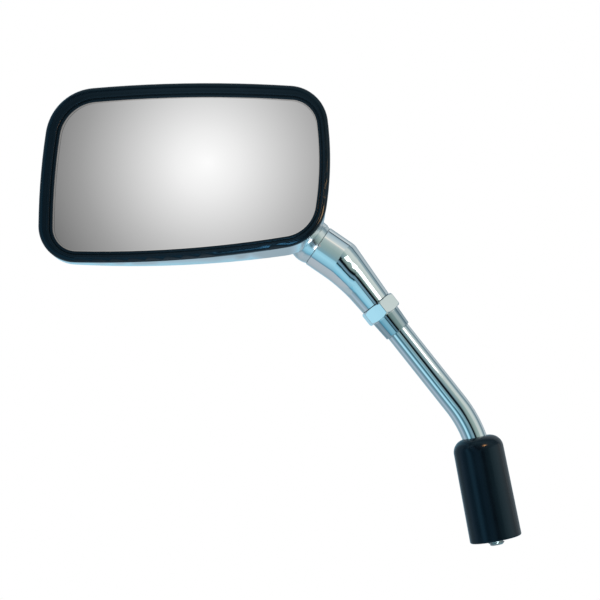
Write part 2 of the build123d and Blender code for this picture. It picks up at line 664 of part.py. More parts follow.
def plate_screw(across, up):
    """One pan-head screw of the backing plate."""
    low = -PLATE_FRONT + SEAT_GAP
    head = disc(Plane.XY, SCREW_HEAD_DIA / 2, low, low + SCREW_HEAD_HEIGHT)
    head = fillet(head.edges().sort_by(Axis.Z)[-1], SCREW_HEAD_ROUND)
    shank = disc(Plane.XY, SCREW_DIA / 2, low - SCREW_DEPTH, low)
    return head_point(across, up) * (head + shank)


def plate_screws():
    """The four screws of the backing plate."""
    return Compound([plate_screw(across, up).solid() for across, up in SCREW_PLACES])


PARTS = {
    "base_adapter": base_adapter,
    "base_spring_washer": base_spring_washer,
    "base_lock_nut": base_lock_nut,
    "stem_rod": stem_rod,
    "arm_lock_nut": arm_lock_nut,
    "rubber_boot": rubber_boot,
    "arm_elbow": arm_elbow,
    "cup_liner": cup_liner,
    "pivot_stud": pivot_stud,
    "pressure_cup": pressure_cup,
    "friction_dome": friction_dome,
    "pivot_springs": pivot_springs,
    "pivot_washer": pivot_washer,
    "pivot_nut": pivot_nut,
    "housing_shell": housing_shell,
    "mirror_glass": mirror_glass,
    "rim_gasket": rim_gasket,
    "glass_pad": glass_pad,
    "backing_plate": backing_plate,
    "plate_screws": plate_screws,
}

for name, make in PARTS.items():
    export_step(make(), f"parts/{name}.step")
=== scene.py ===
import math

import bpy
from bpy.props import FloatProperty, FloatVectorProperty, IntProperty, PointerProperty
from mathutils import Matrix, Vector


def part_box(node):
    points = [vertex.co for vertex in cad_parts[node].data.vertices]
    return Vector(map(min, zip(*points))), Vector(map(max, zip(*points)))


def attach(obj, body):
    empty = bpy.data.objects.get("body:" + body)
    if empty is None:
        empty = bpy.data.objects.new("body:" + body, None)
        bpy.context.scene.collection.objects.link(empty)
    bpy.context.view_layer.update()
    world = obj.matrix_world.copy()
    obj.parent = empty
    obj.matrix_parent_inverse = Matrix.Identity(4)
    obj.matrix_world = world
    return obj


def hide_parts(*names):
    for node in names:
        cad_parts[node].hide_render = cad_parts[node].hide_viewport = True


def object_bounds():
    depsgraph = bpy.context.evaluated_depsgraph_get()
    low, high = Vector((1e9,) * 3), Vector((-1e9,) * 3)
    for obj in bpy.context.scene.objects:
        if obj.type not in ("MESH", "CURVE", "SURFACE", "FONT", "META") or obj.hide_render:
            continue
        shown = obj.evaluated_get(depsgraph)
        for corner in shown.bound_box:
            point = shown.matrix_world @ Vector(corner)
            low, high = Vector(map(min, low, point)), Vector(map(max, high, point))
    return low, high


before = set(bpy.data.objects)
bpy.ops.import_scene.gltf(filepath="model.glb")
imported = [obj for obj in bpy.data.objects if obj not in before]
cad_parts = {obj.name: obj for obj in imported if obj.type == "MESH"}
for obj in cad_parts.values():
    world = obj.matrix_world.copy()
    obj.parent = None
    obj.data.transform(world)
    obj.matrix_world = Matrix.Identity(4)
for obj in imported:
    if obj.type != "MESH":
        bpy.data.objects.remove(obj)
CAD_BOX = [list(corner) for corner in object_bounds()]

bl_info = {
    "name": "Motorcycle mirror",
    "version": (1, 0, 0),
    "blender": (4, 5, 0),
    "location": "View3D > Sidebar > Mirror",
    "description": "Finishes a chromed motorcycle mirror, its rubber rim, boot and threaded stud",
    "category": "Object",
}

MM = 0.001
MICRON = 0.001 * MM

# Nodes that share a finish
TURNED = ("stem_rod",)
SKIRTED = ("arm_lock_nut",)
CAST = ("arm_elbow",)
PRESSED = ("housing_shell",)
RUBBER = ("rim_gasket", "rubber_boot")
ZINC = (
    "base_spring_washer",
    "base_lock_nut",
    "pivot_stud",
    "pressure_cup",
    "pivot_springs",
    "pivot_washer",
    "pivot_nut",
    "backing_plate",
    "plate_screws",
)
NYLON = ("cup_liner", "friction_dome")

# Lean of the rod to the left in degrees, and the line that it follows
STEM_LEAN = 27.4
STEM_AXIS = Vector((-math.sin(math.radians(STEM_LEAN)), 0, math.cos(math.radians(STEM_LEAN))))

# Roughness of a finish where it is bright and where it is dull
CHROME_ROUGHNESS = (0.02, 0.07)
RUBBER_ROUGHNESS = (0.16, 0.24)
ZINC_ROUGHNESS = (0.18, 0.34)
GLASS_ROUGHNESS = 0.015
# what the snout's weaker buffing adds, and where it ends, in times its reach
SNOUT_ROUGHNESS = 0.18
SNOUT_END = 1.3
# Stretch of a noise over which a finish goes from bright to dull
HAZE_RANGE = (0.35, 0.75)
CLOUD_RANGE = (0.3, 0.7)
# Openness of a corner from full painted shade to none, and from plain glass to the full painted
# glow at its edge
JOINT_SHADE_RANGE = (0.45, 0.8)
PAINTED_GLOW_RANGE = (0.97, 0.75)
# strength of the painted glow, a thin pale line of emission at the glass's edge
PAINTED_GLOW_STRENGTH = 0.18
# Gloss of the rubber, and the bumps of its grain and of the plain finishes
RUBBER_GLOSS = 0.45
GRAIN_STRENGTH = 0.2
PLAIN_BUMP = 0.05 * MM
PLAIN_STRENGTH = 0.5
# Half the width of the fade at the line round the nut's middle, below which the chrome takes a
# painted shade
SKIRT_SHADE_FADE = 0.2 * MM

# Corners closer than this are joined, and edges sharper than this stay sharp
WELD_GAP = 0.002 * MM
SMOOTH_ANGLE = math.radians(30)


def linear(code):
    """Linear RGBA of an sRGB hex colour such as #a0b0c0."""
    channels = []
    for start in (1, 3, 5):
        value = int(code[start : start + 2], 16) / 255
        channels.append(value / 12.92 if value <= 0.04045 else ((value + 0.055) / 1.055) ** 2.4)
    return (*channels, 1.0)


def colour(name, description, code):
    """A colour property with its default given as sRGB hex."""
    return FloatVectorProperty(
        name=name, description=description, default=linear(code),
        size=4, subtype="COLOR", min=0, max=1,
    )


def length(name, description, millimetres):
    """A length property with its default given in millimetres."""
    return FloatProperty(
        name=name, description=description, default=millimetres * MM, unit="LENGTH"
    )


class ChromeLooks(bpy.types.PropertyGroup):
    """Bright chrome plate."""

    tone: colour("Chrome", "Colour of the plate", "#fafcfd")
    haze_tone: colour("Haze", "Colour where the polish is a little dull", "#eff4f6")
    haze_size: length("Haze size", "Width of a patch of dull polish", 9.0)
    # painted shade: a darker chrome colour for the lower end of the lock nut
    painted_skirt_shade: colour("Skirt", "Colour of the lock nut's skirt", "#c4d0d5")
    snout_reach: length("Snout reach", "How far from the joint the housing is buffed less", 15.0)
    wave_size: length("Wave size", "Distance between the slight waves of a plated casting", 14.0)
    wave_height: length("Wave height", "Height of the waves of a plated casting", 0.004)
    # painted shade: the dark colour mixed into the chrome's joint lines and corners
    joint_shade: colour("Grime", "Colour of the grime in the joint lines", "#1b2a34")
    joint_shade_reach: length("Grime reach", "How far the grime reaches out of a joint line", 0.9)


class RubberLooks(bpy.types.PropertyGroup):
    """Moulded black rubber."""

    tone: colour("Rubber", "Main colour of the rubber", "#040a10")
    bloom: colour("Bloom", "Colour of the faint bloom on the rubber", "#08131b")
    sheen: colour("Sheen", "Tint of what the rubber mirrors", "#8fc4e2")
    bloom_size: length("Bloom size", "Width of a patch of bloom", 11.0)
    # the mould's real grain is finer: it is drawn this coarse so that it shows
    grain_size: length("Grain size", "Width of a grain of the mould's surface", 0.5)
    grain_height: length("Grain height", "Height of a grain of the mould's surface", 0.02)


class GlassLooks(bpy.types.PropertyGroup):
    """Silvered convex glass."""

    # painted shade: the glass's colour greys from its middle to its edge, adding to the reflected
    # gradient
    silver: colour("Silver", "Colour in the middle of the glass", "#ffffff")
    edge: colour("Edge", "Colour near the edge of the glass", "#f6f6f6")
    spread: length("Spread", "Distance from the middle to the full edge colour", 95.0)
    # painted light: the colour of a glow along the glass's edge, and how far in it reaches
    painted_glow: colour("Ground edge", "Colour of the glass's ground edge", "#efe6da")
    painted_glow_width: length("Ground width", "Width of the ground edge that shows inside the rim", 0.4)


class StudSizes(bpy.types.PropertyGroup):
    """Thread of the mounting stud."""

    crest: length("Crest radius", "Radius of the thread's crests", 3.98)
    root: length("Root radius", "Radius of the thread's roots", 3.28)
    pitch: length("Pitch", "Advance of the thread in a turn", 1.25)
    chamfer: length("Chamfer", "Chamfer at the stud's tip", 1.0)
    neck: length("Neck", "Plain stretch between the hexagon and the thread", 0.8)
    steps: IntProperty(
        name="Steps", description="Faces round a turn of the thread", default=48, min=12
    )
    zinc: colour("Zinc", "Colour of the zinc plate", "#c9cfce")
    zinc_dull: colour("Dull zinc", "Colour of the dull patches of the zinc", "#a3aaa9")
    cloud_size: length("Cloud size", "Width of a dull patch of the zinc", 3.0)


class StageLooks(bpy.types.PropertyGroup):
    """Floor, light and camera."""

    floor_drop: length("Floor drop", "How far the floor lies below the stud", 150.0)
    floor_tone: colour("Floor", "Colour of the floor", "#f4f4f3")
    view_distance: length("View distance", "Distance from the camera to the stem's plane", 1200.0)
    view_width: length("View width", "Width of the picture at the stem's plane", 294.0)
    view_roll: FloatProperty(
        name="View roll", description="Turn of the camera about its own line of sight",
        default=math.radians(11.0), subtype="ANGLE",
    )


class MirrorLooks(bpy.types.PropertyGroup):
    """All settings of the mirror's finish."""

    chrome: PointerProperty(type=ChromeLooks)
    rubber: PointerProperty(type=RubberLooks)
    glass: PointerProperty(type=GlassLooks)
    stud: PointerProperty(type=StudSizes)
    stage: PointerProperty(type=StageLooks)


def looks():
    """The settings of this scene."""
    return bpy.context.scene.mirror_looks


def add_node(tree, kind, inputs=None, **settings):
    """Adds a node, sets its properties, and fills or links its inputs."""
    made = tree.nodes.new(kind)
    for key, value in settings.items():
        setattr(made, key, value)
    for key, value in (inputs or {}).items():
        if isinstance(value, bpy.types.NodeSocket):
            tree.links.new(value, made.inputs[key])
        else:
            made.inputs[key].default_value = value
    return made


def set_ramp(node, stops):
    """Gives a colour ramp its stops, each a place and a linear colour."""
    elements = node.color_ramp.elements
    while len(elements) < len(stops):
        elements.new(1.0)
    for element, (place, tone) in zip(elements, stops):
        element.position = place
        element.color = tone


def new_material(name):
    """An empty node material, with its tree and its surface's shader."""
    material = bpy.data.materials.new(name)
    material.use_nodes = True
    tree = material.node_tree
    tree.nodes.clear()
    shader = add_node(tree, "ShaderNodeBsdfPrincipled")
    add_node(tree, "ShaderNodeOutputMaterial", {"Surface": shader.outputs["BSDF"]})
    return material, tree, shader


def paint(material, names):
    """Gives CAD nodes a material."""
    for name in names:
        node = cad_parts[name]
        node.data.materials.clear()
        node.data.materials.append(material)


def deselect():
    """Leaves edit mode with nothing selected."""
    if bpy.context.object and bpy.context.object.mode != "OBJECT":
        bpy.ops.object.mode_set(mode="OBJECT")
    bpy.ops.object.select_all(action="DESELECT")


def edit(obj):
    """Enters edit mode on one object, with all of it selected."""
    deselect()
    bpy.context.view_layer.objects.active = obj
    obj.select_set(True)
    bpy.ops.object.mode_set(mode="EDIT")
    bpy.ops.mesh.select_all(action="SELECT")


def chrome_material(name, wavy=False, dull_place=None, shade_below=None):
    """Chrome plate: a bright mirror, hazy in patches, with painted shade darkening its joint lines
    and corners.

    It is buffed less round dull_place, and painted darker below the point given for the nut, a
    painted shade, where these are given.
    """
    chosen = looks().chrome
    material, tree, shader = new_material(name)
    place = add_node(tree, "ShaderNodeTexCoord").outputs["Object"]
    haze = add_node(
        tree, "ShaderNodeTexNoise", {"Vector": place, "Scale": 1 / chosen.haze_size, "Detail": 3.0}
    )
    tone = add_node(
        tree, "ShaderNodeMix",
        {"Factor": haze.outputs["Fac"], "A": chosen.tone, "B": chosen.haze_tone}, data_type="RGBA",
    )
    dull = add_node(
        tree, "ShaderNodeMapRange",
        {
            "Value": haze.outputs["Fac"],
            "From Min": HAZE_RANGE[0], "From Max": HAZE_RANGE[1],
            "To Min": CHROME_ROUGHNESS[0], "To Max": CHROME_ROUGHNESS[1],
        },
    )
    # painted shade: the AO node finds joint lines and corners, and there the chrome's colour is
    # mixed towards the dark joint colour
    corner = add_node(
        tree, "ShaderNodeAmbientOcclusion", {"Distance": chosen.joint_shade_reach}, samples=8
    )
    unshaded_share = add_node(
        tree, "ShaderNodeMapRange",
        {
            "Value": corner.outputs["AO"],
            "From Min": JOINT_SHADE_RANGE[0], "From Max": JOINT_SHADE_RANGE[1],
        },
    )
    joint_shaded = add_node(
        tree, "ShaderNodeMix",
        {"Factor": unshaded_share.outputs["Result"], "A": chosen.joint_shade, "B": tone.outputs["Result"]},
        data_type="RGBA",
    )
    base = joint_shaded.outputs["Result"]
    rough = dull.outputs["Result"]
    # painted shade: below the line round the nut's middle, the chrome's colour is mixed towards the
    # darker tone
    if shade_below is not None:
        apart = add_node(
            tree, "ShaderNodeVectorMath", {0: place, 1: shade_below}, operation="SUBTRACT"
        )
        along = add_node(
            tree, "ShaderNodeVectorMath", {0: apart.outputs["Vector"], 1: STEM_AXIS},
            operation="DOT_PRODUCT",
        )
        lower = add_node(
            tree, "ShaderNodeMapRange",
            {"Value": along.outputs["Value"], "From Min": SKIRT_SHADE_FADE, "From Max": -SKIRT_SHADE_FADE},
        )
        skirt_shaded = add_node(
            tree, "ShaderNodeMix",
            {"Factor": lower.outputs["Result"], "A": base, "B": chosen.painted_skirt_shade}, data_type="RGBA",
        )
        base = skirt_shaded.outputs["Result"]
    if dull_place is not None:
        away = add_node(
            tree, "ShaderNodeVectorMath", {0: place, 1: dull_place}, operation="DISTANCE"
        )
        near = add_node(
            tree, "ShaderNodeMapRange",
            {
                "Value": away.outputs["Value"],
                "From Min": chosen.snout_reach * SNOUT_END, "From Max": chosen.snout_reach,
                "To Max": SNOUT_ROUGHNESS,
            },
        )
        buffed = add_node(
            tree, "ShaderNodeMath", {0: rough, 1: near.outputs["Result"]}, operation="ADD"
        )
        rough = buffed.outputs["Value"]
    tree.links.new(base, shader.inputs["Base Color"])
    tree.links.new(rough, shader.inputs["Roughness"])
    shader.inputs["Metallic"].default_value = 1.0
    if wavy:
        wave = add_node(
            tree, "ShaderNodeTexNoise",
            {"Vector": place, "Scale": 1 / chosen.wave_size, "Detail": 1.0},
        )
        bump = add_node(
            tree, "ShaderNodeBump",
            {"Height": wave.outputs["Fac"], "Distance": chosen.wave_height, "Strength": 1.0},
        )
        tree.links.new(bump.outputs["Normal"], shader.inputs["Normal"])
    return material


def rubber_material():
    """Moulded black rubber: satin, with a faint bloom and the fine grain of the mould."""
    chosen = looks().rubber
    material, tree, shader = new_material("moulded_rubber")
    place = add_node(tree, "ShaderNodeTexCoord").outputs["Object"]
    bloom = add_node(
        tree, "ShaderNodeTexNoise", {"Vector": place, "Scale": 1 / chosen.bloom_size, "Detail": 4.0}
    )
    tone = add_node(
        tree, "ShaderNodeMix",
        {"Factor": bloom.outputs["Fac"], "A": chosen.tone, "B": chosen.bloom}, data_type="RGBA",
    )
    dull = add_node(
        tree, "ShaderNodeMapRange",
        {
            "Value": bloom.outputs["Fac"],
            "From Min": CLOUD_RANGE[0], "From Max": CLOUD_RANGE[1],
            "To Min": RUBBER_ROUGHNESS[0], "To Max": RUBBER_ROUGHNESS[1],
        },
    )
    grain = add_node(
        tree, "ShaderNodeTexNoise", {"Vector": place, "Scale": 1 / chosen.grain_size, "Detail": 2.0}
    )
    bump = add_node(
        tree, "ShaderNodeBump",
        {
            "Height": grain.outputs["Fac"],
            "Distance": chosen.grain_height, "Strength": GRAIN_STRENGTH,
        },
    )
    tree.links.new(tone.outputs["Result"], shader.inputs["Base Color"])
    tree.links.new(dull.outputs["Result"], shader.inputs["Roughness"])
    tree.links.new(bump.outputs["Normal"], shader.inputs["Normal"])
    shader.inputs["Specular IOR Level"].default_value = RUBBER_GLOSS
    shader.inputs["Specular Tint"].default_value = chosen.sheen
    return material


def glass_material():
    """Silvered glass: a mirror whose colour a painted shade greys a touch towards its edge, with a
    painted glow in a thin line at its edge.
    """
    chosen = looks().glass
    low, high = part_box("mirror_glass")
    middle = (low + high) / 2
    material, tree, shader = new_material("silvered_glass")
    place = add_node(tree, "ShaderNodeTexCoord").outputs["Object"]
    centred = add_node(
        tree, "ShaderNodeMapping",
        {"Vector": place, "Location": -middle / chosen.spread, "Scale": (1 / chosen.spread,) * 3},
    )
    away = add_node(
        tree, "ShaderNodeTexGradient", {"Vector": centred.outputs["Vector"]},
        gradient_type="QUADRATIC_SPHERE",
    )
    # painted shade: the colour greys slightly from the middle of the glass towards its edge
    tone = add_node(
        tree, "ShaderNodeMix",
        {"Factor": away.outputs["Fac"], "A": chosen.edge, "B": chosen.silver}, data_type="RGBA",
    )
    # painted light: near the rim the AO node makes the glass glow in a thin pale line
    rim = add_node(tree, "ShaderNodeAmbientOcclusion", {"Distance": chosen.painted_glow_width}, samples=8)
    painted_glow = add_node(
        tree, "ShaderNodeMapRange",
        {
            "Value": rim.outputs["AO"],
            "From Min": PAINTED_GLOW_RANGE[0], "From Max": PAINTED_GLOW_RANGE[1], "To Max": PAINTED_GLOW_STRENGTH,
        },
    )
    tree.links.new(tone.outputs["Result"], shader.inputs["Base Color"])
    tree.links.new(painted_glow.outputs["Result"], shader.inputs["Emission Strength"])
    shader.inputs["Emission Color"].default_value = chosen.painted_glow
    shader.inputs["Metallic"].default_value = 1.0
    shader.inputs["Roughness"].default_value = GLASS_ROUGHNESS
    return material


def zinc_material():
    """Zinc plate on turned steel: pale, half dull, with cloudy patches."""
    chosen = looks().stud
    material, tree, shader = new_material("zinc_plated_steel")
    place = add_node(tree, "ShaderNodeTexCoord").outputs["Object"]
    cloud = add_node(
        tree, "ShaderNodeTexNoise", {"Vector": place, "Scale": 1 / chosen.cloud_size, "Detail": 4.0}
    )
    tone = add_node(
        tree, "ShaderNodeMix",
        {"Factor": cloud.outputs["Fac"], "A": chosen.zinc, "B": chosen.zinc_dull}, data_type="RGBA",
    )
    dull = add_node(
        tree, "ShaderNodeMapRange",
        {
            "Value": cloud.outputs["Fac"],
            "From Min": CLOUD_RANGE[0], "From Max": CLOUD_RANGE[1],
            "To Min": ZINC_ROUGHNESS[0], "To Max": ZINC_ROUGHNESS[1],
        },
    )
    tree.links.new(tone.outputs["Result"], shader.inputs["Base Color"])
    tree.links.new(dull.outputs["Result"], shader.inputs["Roughness"])
    shader.inputs["Metallic"].default_value = 1.0
    return material


def plain_material(name, tone, shade, size, roughness):
    """A matt material with a soft cloud of a second tone and a fine bump."""
    material, tree, shader = new_material(name)
    place = add_node(tree, "ShaderNodeTexCoord").outputs["Object"]
    cloud = add_node(
        tree, "ShaderNodeTexNoise", {"Vector": place, "Scale": 1 / size, "Detail": 3.0}
    )
    mixed = add_node(
        tree, "ShaderNodeMix",
        {"Factor": cloud.outputs["Fac"], "A": linear(tone), "B": linear(shade)}, data_type="RGBA",
    )
    bump = add_node(
        tree, "ShaderNodeBump",
        {"Height": cloud.outputs["Fac"], "Distance": PLAIN_BUMP, "Strength": PLAIN_STRENGTH},
    )
    tree.links.new(mixed.outputs["Result"], shader.inputs["Base Color"])
    tree.links.new(bump.outputs["Normal"], shader.inputs["Normal"])
    shader.inputs["Roughness"].default_value = roughness
    return material


class MIRROR_OT_chrome(bpy.types.Operator):
    """Plate the rod, the nut, the housing and the elbow"""

    bl_idname = "mirror.chrome"
    bl_label = "Chrome pieces"

    def execute(self, context):
        paint(chrome_material("chrome_on_turned_steel"), TURNED)
        low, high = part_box("arm_lock_nut")
        paint(chrome_material("chrome_on_nut", shade_below=(low + high) / 2), SKIRTED)
        paint(chrome_material("chrome_on_casting", wavy=True), CAST)
        low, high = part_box("friction_dome")
        paint(chrome_material("chrome_on_pressed_steel", dull_place=(low + high) / 2), PRESSED)
        return {"FINISHED"}


class MIRROR_OT_rubber(bpy.types.Operator):
    """Finish the rim and the boot in rubber"""

    bl_idname = "mirror.rubber"
    bl_label = "Rubber pieces"

    def execute(self, context):
        paint(rubber_material(), RUBBER)
        return {"FINISHED"}


class MIRROR_OT_glass(bpy.types.Operator):
    """Silver the glass"""

    bl_idname = "mirror.glass"
    bl_label = "Mirror glass"

    def execute(self, context):
        paint(glass_material(), ("mirror_glass",))
        return {"FINISHED"}


class MIRROR_OT_hidden(bpy.types.Operator):
    """Finish the pieces inside the joint, the head and the boot"""

    bl_idname = "mirror.hidden"
    bl_label = "Hidden pieces"

    def execute(self, context):
        paint(zinc_material(), ZINC)
        nylon = plain_material("natural_nylon", "#e6e2d4", "#d8d2c0", size=4 * MM, roughness=0.45)
        paint(nylon, NYLON)
        foam = plain_material("foam", "#2a2c2e", "#1b1c1e", size=1.2 * MM, roughness=0.9)
        paint(foam, ("glass_pad",))
        return {"FINISHED"}


def merged_copy(node, name):
    """A copy of a CAD node with its loose triangles joined, open for editing."""
    copy = bpy.data.objects.new(name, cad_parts[node].data.copy())
    bpy.context.scene.collection.objects.link(copy)
    edit(copy)
    bpy.ops.mesh.customdata_custom_splitnormals_clear()
    bpy.ops.mesh.remove_doubles(threshold=WELD_GAP)
    bpy.ops.mesh.select_all(action="SELECT")
    return copy


class MIRROR_OT_shell(bpy.types.Operator):
    """Join the housing's skin so that its back shines without a flaw"""

    bl_idname = "mirror.shell"
    bl_label = "Housing shell"

    def execute(self, context):
        shell = merged_copy("housing_shell", "plated_shell")
        deselect()
        shell.select_set(True)
        context.view_layer.objects.active = shell
        bpy.ops.object.shade_smooth_by_angle(angle=SMOOTH_ANGLE)
        weigh = shell.modifiers.new("Normals", "WEIGHTED_NORMAL")
        weigh.keep_sharp = True
        bpy.ops.object.modifier_apply(modifier=weigh.name)
        shell.data.materials.clear()
        shell.data.materials.append(bpy.data.materials["chrome_on_pressed_steel"])
        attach(shell, "head")
        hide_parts("housing_shell")
        return {"FINISHED"}


# Shares of the thread's pitch
ROOT_FLAT = 0.2
CREST_FLAT = 0.15
FLANK = 0.325
# Turns that are made beyond the stretch that is kept, half of them at each end
SPARE_TURNS = 4
# The blank that the thread is trimmed to: its sides, room round the crests and reach past the top
BLANK_SIDES = 96
BLANK_ROOM = 0.01 * MM
BLANK_SPARE = 1.0 * MM
# An edge this close to the tip belongs to it
TIP_REACH = 0.1 * MM


def turned_thread(low, high, sizes):
    """A closed screw thread between two heights, chamfered at its lower end."""
    rise = sizes.crest - sizes.root
    deselect()
    start = low - SPARE_TURNS / 2 * sizes.pitch
    bpy.ops.mesh.primitive_plane_add(size=MM, location=(sizes.root, 0, start))
    thread = bpy.context.object
    bpy.ops.object.transform_apply(location=True, rotation=True, scale=True)
    edit(thread)
    bpy.ops.mesh.merge(type="CENTER")
    for out, share in ((0, ROOT_FLAT), (rise, FLANK), (0, CREST_FLAT), (-rise, FLANK)):
        step = (out, 0, share * sizes.pitch)
        bpy.ops.mesh.extrude_region_move(TRANSFORM_OT_translate={"value": step})
    bpy.ops.object.mode_set(mode="OBJECT")
    screw = thread.modifiers.new("Thread", "SCREW")
    screw.axis = "Z"
    screw.screw_offset = sizes.pitch
    screw.iterations = math.ceil((high - low) / sizes.pitch) + SPARE_TURNS
    screw.steps = sizes.steps
    screw.render_steps = sizes.steps
    screw.use_merge_vertices = True
    screw.merge_threshold = MICRON
    bpy.ops.object.modifier_apply(modifier=screw.name)
    edit(thread)
    bpy.ops.mesh.remove_doubles(threshold=MICRON)
    bpy.ops.mesh.select_all(action="SELECT")
    bpy.ops.mesh.bisect(plane_co=(0, 0, high), plane_no=(0, 0, 1), use_fill=True, clear_outer=True)
    bpy.ops.mesh.select_all(action="SELECT")
    bpy.ops.mesh.bisect(plane_co=(0, 0, low), plane_no=(0, 0, -1), use_fill=True, clear_outer=True)
    bpy.ops.mesh.select_all(action="SELECT")
    bpy.ops.mesh.normals_make_consistent(inside=False)
    bpy.ops.object.mode_set(mode="OBJECT")
    bpy.ops.mesh.primitive_cylinder_add(
        vertices=BLANK_SIDES, radius=sizes.crest + BLANK_ROOM,
        depth=high - low + BLANK_SPARE, location=(0, 0, (high + low + BLANK_SPARE) / 2),
    )
    blank = bpy.context.object
    bpy.ops.object.transform_apply(location=True, rotation=True, scale=True)
    edit(blank)
    bpy.ops.mesh.select_all(action="DESELECT")
    bpy.ops.object.mode_set(mode="OBJECT")
    for edge in blank.data.edges:
        edge.select = all(blank.data.vertices[i].co.z < low + TIP_REACH for i in edge.vertices)
    bpy.ops.object.mode_set(mode="EDIT")
    bpy.ops.mesh.select_mode(type="EDGE")
    bpy.ops.mesh.bevel(offset=sizes.chamfer, segments=1)
    bpy.ops.mesh.select_mode(type="VERT")
    deselect()
    thread.select_set(True)
    bpy.context.view_layer.objects.active = thread
    trim = thread.modifiers.new("Tip", "BOOLEAN")
    trim.operation = "INTERSECT"
    trim.solver = "EXACT"
    trim.object = blank
    bpy.ops.object.modifier_apply(modifier=trim.name)
    bpy.data.objects.remove(blank)
    return thread


class MIRROR_OT_stud(bpy.types.Operator):
    """Cut the thread of the mounting stud"""

    bl_idname = "mirror.stud"
    bl_label = "Threaded stud"

    def execute(self, context):
        sizes = looks().stud
        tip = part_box("base_adapter")[0].z
        thread = turned_thread(tip, -sizes.neck, sizes)
        stud = merged_copy("base_adapter", "threaded_stud")
        bpy.ops.mesh.bisect(
            plane_co=(0, 0, -sizes.neck), plane_no=(0, 0, -1), use_fill=True, clear_outer=True
        )
        deselect()
        thread.select_set(True)
        stud.select_set(True)
        context.view_layer.objects.active = stud
        bpy.ops.object.join()
        bpy.ops.object.shade_smooth_by_angle(angle=SMOOTH_ANGLE)
        stud.data.materials.clear()
        stud.data.materials.append(bpy.data.materials["zinc_plated_steel"])
        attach(stud, "stem")
        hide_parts("base_adapter")
        return {"FINISHED"}


# What the chrome sees: degrees round the stem from the viewer, right positive, and a tone
ROD_BANDS = (
    (-180, "#7fb4cc"),
    (-168, "#a2d4e8"),
    (-157, "#a3bccb"),
    (-146, "#8fa7b6"),
    (-120, "#8fa4ab"),
    (-100, "#a9bdcf"),
    (-84, "#7f9cab"),
    (-68, "#5a8090"),
    (-62, "#7aa8b6"),
    (-57, "#b4e6f8"),
    (-45, "#aee2f5"),
    (-40, "#6a9bb0"),
    (-34, "#42707f"),
    (-28, "#46717b"),
    (-22, "#7495a3"),
    (-10, "#7897aa"),
    (0, "#4d6876"),
    (4, "#0c171c"),
    (18, "#0c171c"),
    (23, "#6b8488"),
    (29, "#7d959c"),
    (50, "#9cb2ad"),
    (56, "#c5cfca"),
    (80, "#ccd6d3"),
    (90, "#8ea4ab"),
    (103, "#7f979f"),
    (106, "#4a5f6c"),
    (110, "#566b77"),
    (114, "#a4b5bc"),
    (130, "#b4c0c5"),
    (164, "#8fa0a9"),
    (180, "#7fb4cc"),
)
# the same for the elbow's lower leg and the nut's lower end, which taper
LEG_BANDS = (
    (-180, "#7fb4cc"),
    (-168, "#a2d4e8"),
    (-157, "#a3bccb"),
    (-146, "#9aadb8"),
    (-104, "#a9bac3"),
    (-80, "#a3b5be"),
    (-72, "#4e85a0"),
    (-64, "#79bcd4"),
    (-40, "#9fd6ea"),
    (-24, "#8fc9df"),
    (-19, "#1d4450"),
    (-14, "#16333c"),
    (-10, "#6f93a3"),
    (-2, "#6b8798"),
    (2, "#3d5664"),
    (4, "#070d11"),
    (13, "#0a1216"),
    (18, "#718783"),
    (30, "#8ea29e"),
    (50, "#9cb2ad"),
    (56, "#c5cfca"),
    (80, "#ccd6d3"),
    (94, "#8ea4ab"),
    (103, "#8ea4ab"),
    (106, "#33434f"),
    (110, "#4a5f6c"),
    (114, "#a4b5bc"),
    (122, "#8298a2"),
    (130, "#c2cacf"),
    (164, "#8fa0a9"),
    (180, "#7fb4cc"),
)
# and for the elbow's upper leg, which leans further
ELBOW_BANDS = (
    (-180, "#7fb4cc"),
    (-165, "#a2d4e8"),
    (-150, "#a3b8c4"),
    (-142, "#a6b2ba"),
    (-97, "#b0bac2"),
    (-76, "#b0bcc4"),
    (-72, "#5f89a0"),
    (-62, "#86bdd2"),
    (-35, "#a2d9ec"),
    (-20, "#99cfe2"),
    (-14, "#7ba3b0"),
    (0, "#84a1a6"),
    (23, "#93aaa8"),
    (47, "#a9bab8"),
    (56, "#c9cfcb"),
    (60, "#f4eee4"),
    (66, "#d3dad8"),
    (74, "#c3d0d3"),
    (97, "#a9bdc6"),
    (107, "#8ea4b0"),
    (111, "#2a3944"),
    (115, "#2a3944"),
    (119, "#cfd9dc"),
    (150, "#c6d0d5"),
    (166, "#93a6b0"),
    (180, "#7fb4cc"),
)
# sideways lean of what the upper leg sees
ELBOW_LEAN = 0.2936
# Where the bands change over: along the rod, off the leaning slice and round the front
LEG_FADE = (-0.09, -0.13)
SLICE_FADE = (0.065, 0.05)
FRONT_FADE = (-0.8, -0.5)
# The light that matt surfaces get from all round
EVEN_TONE = "#e4eaee"
EVEN_LIGHT = 0.6
WHITE = "#ffffff"


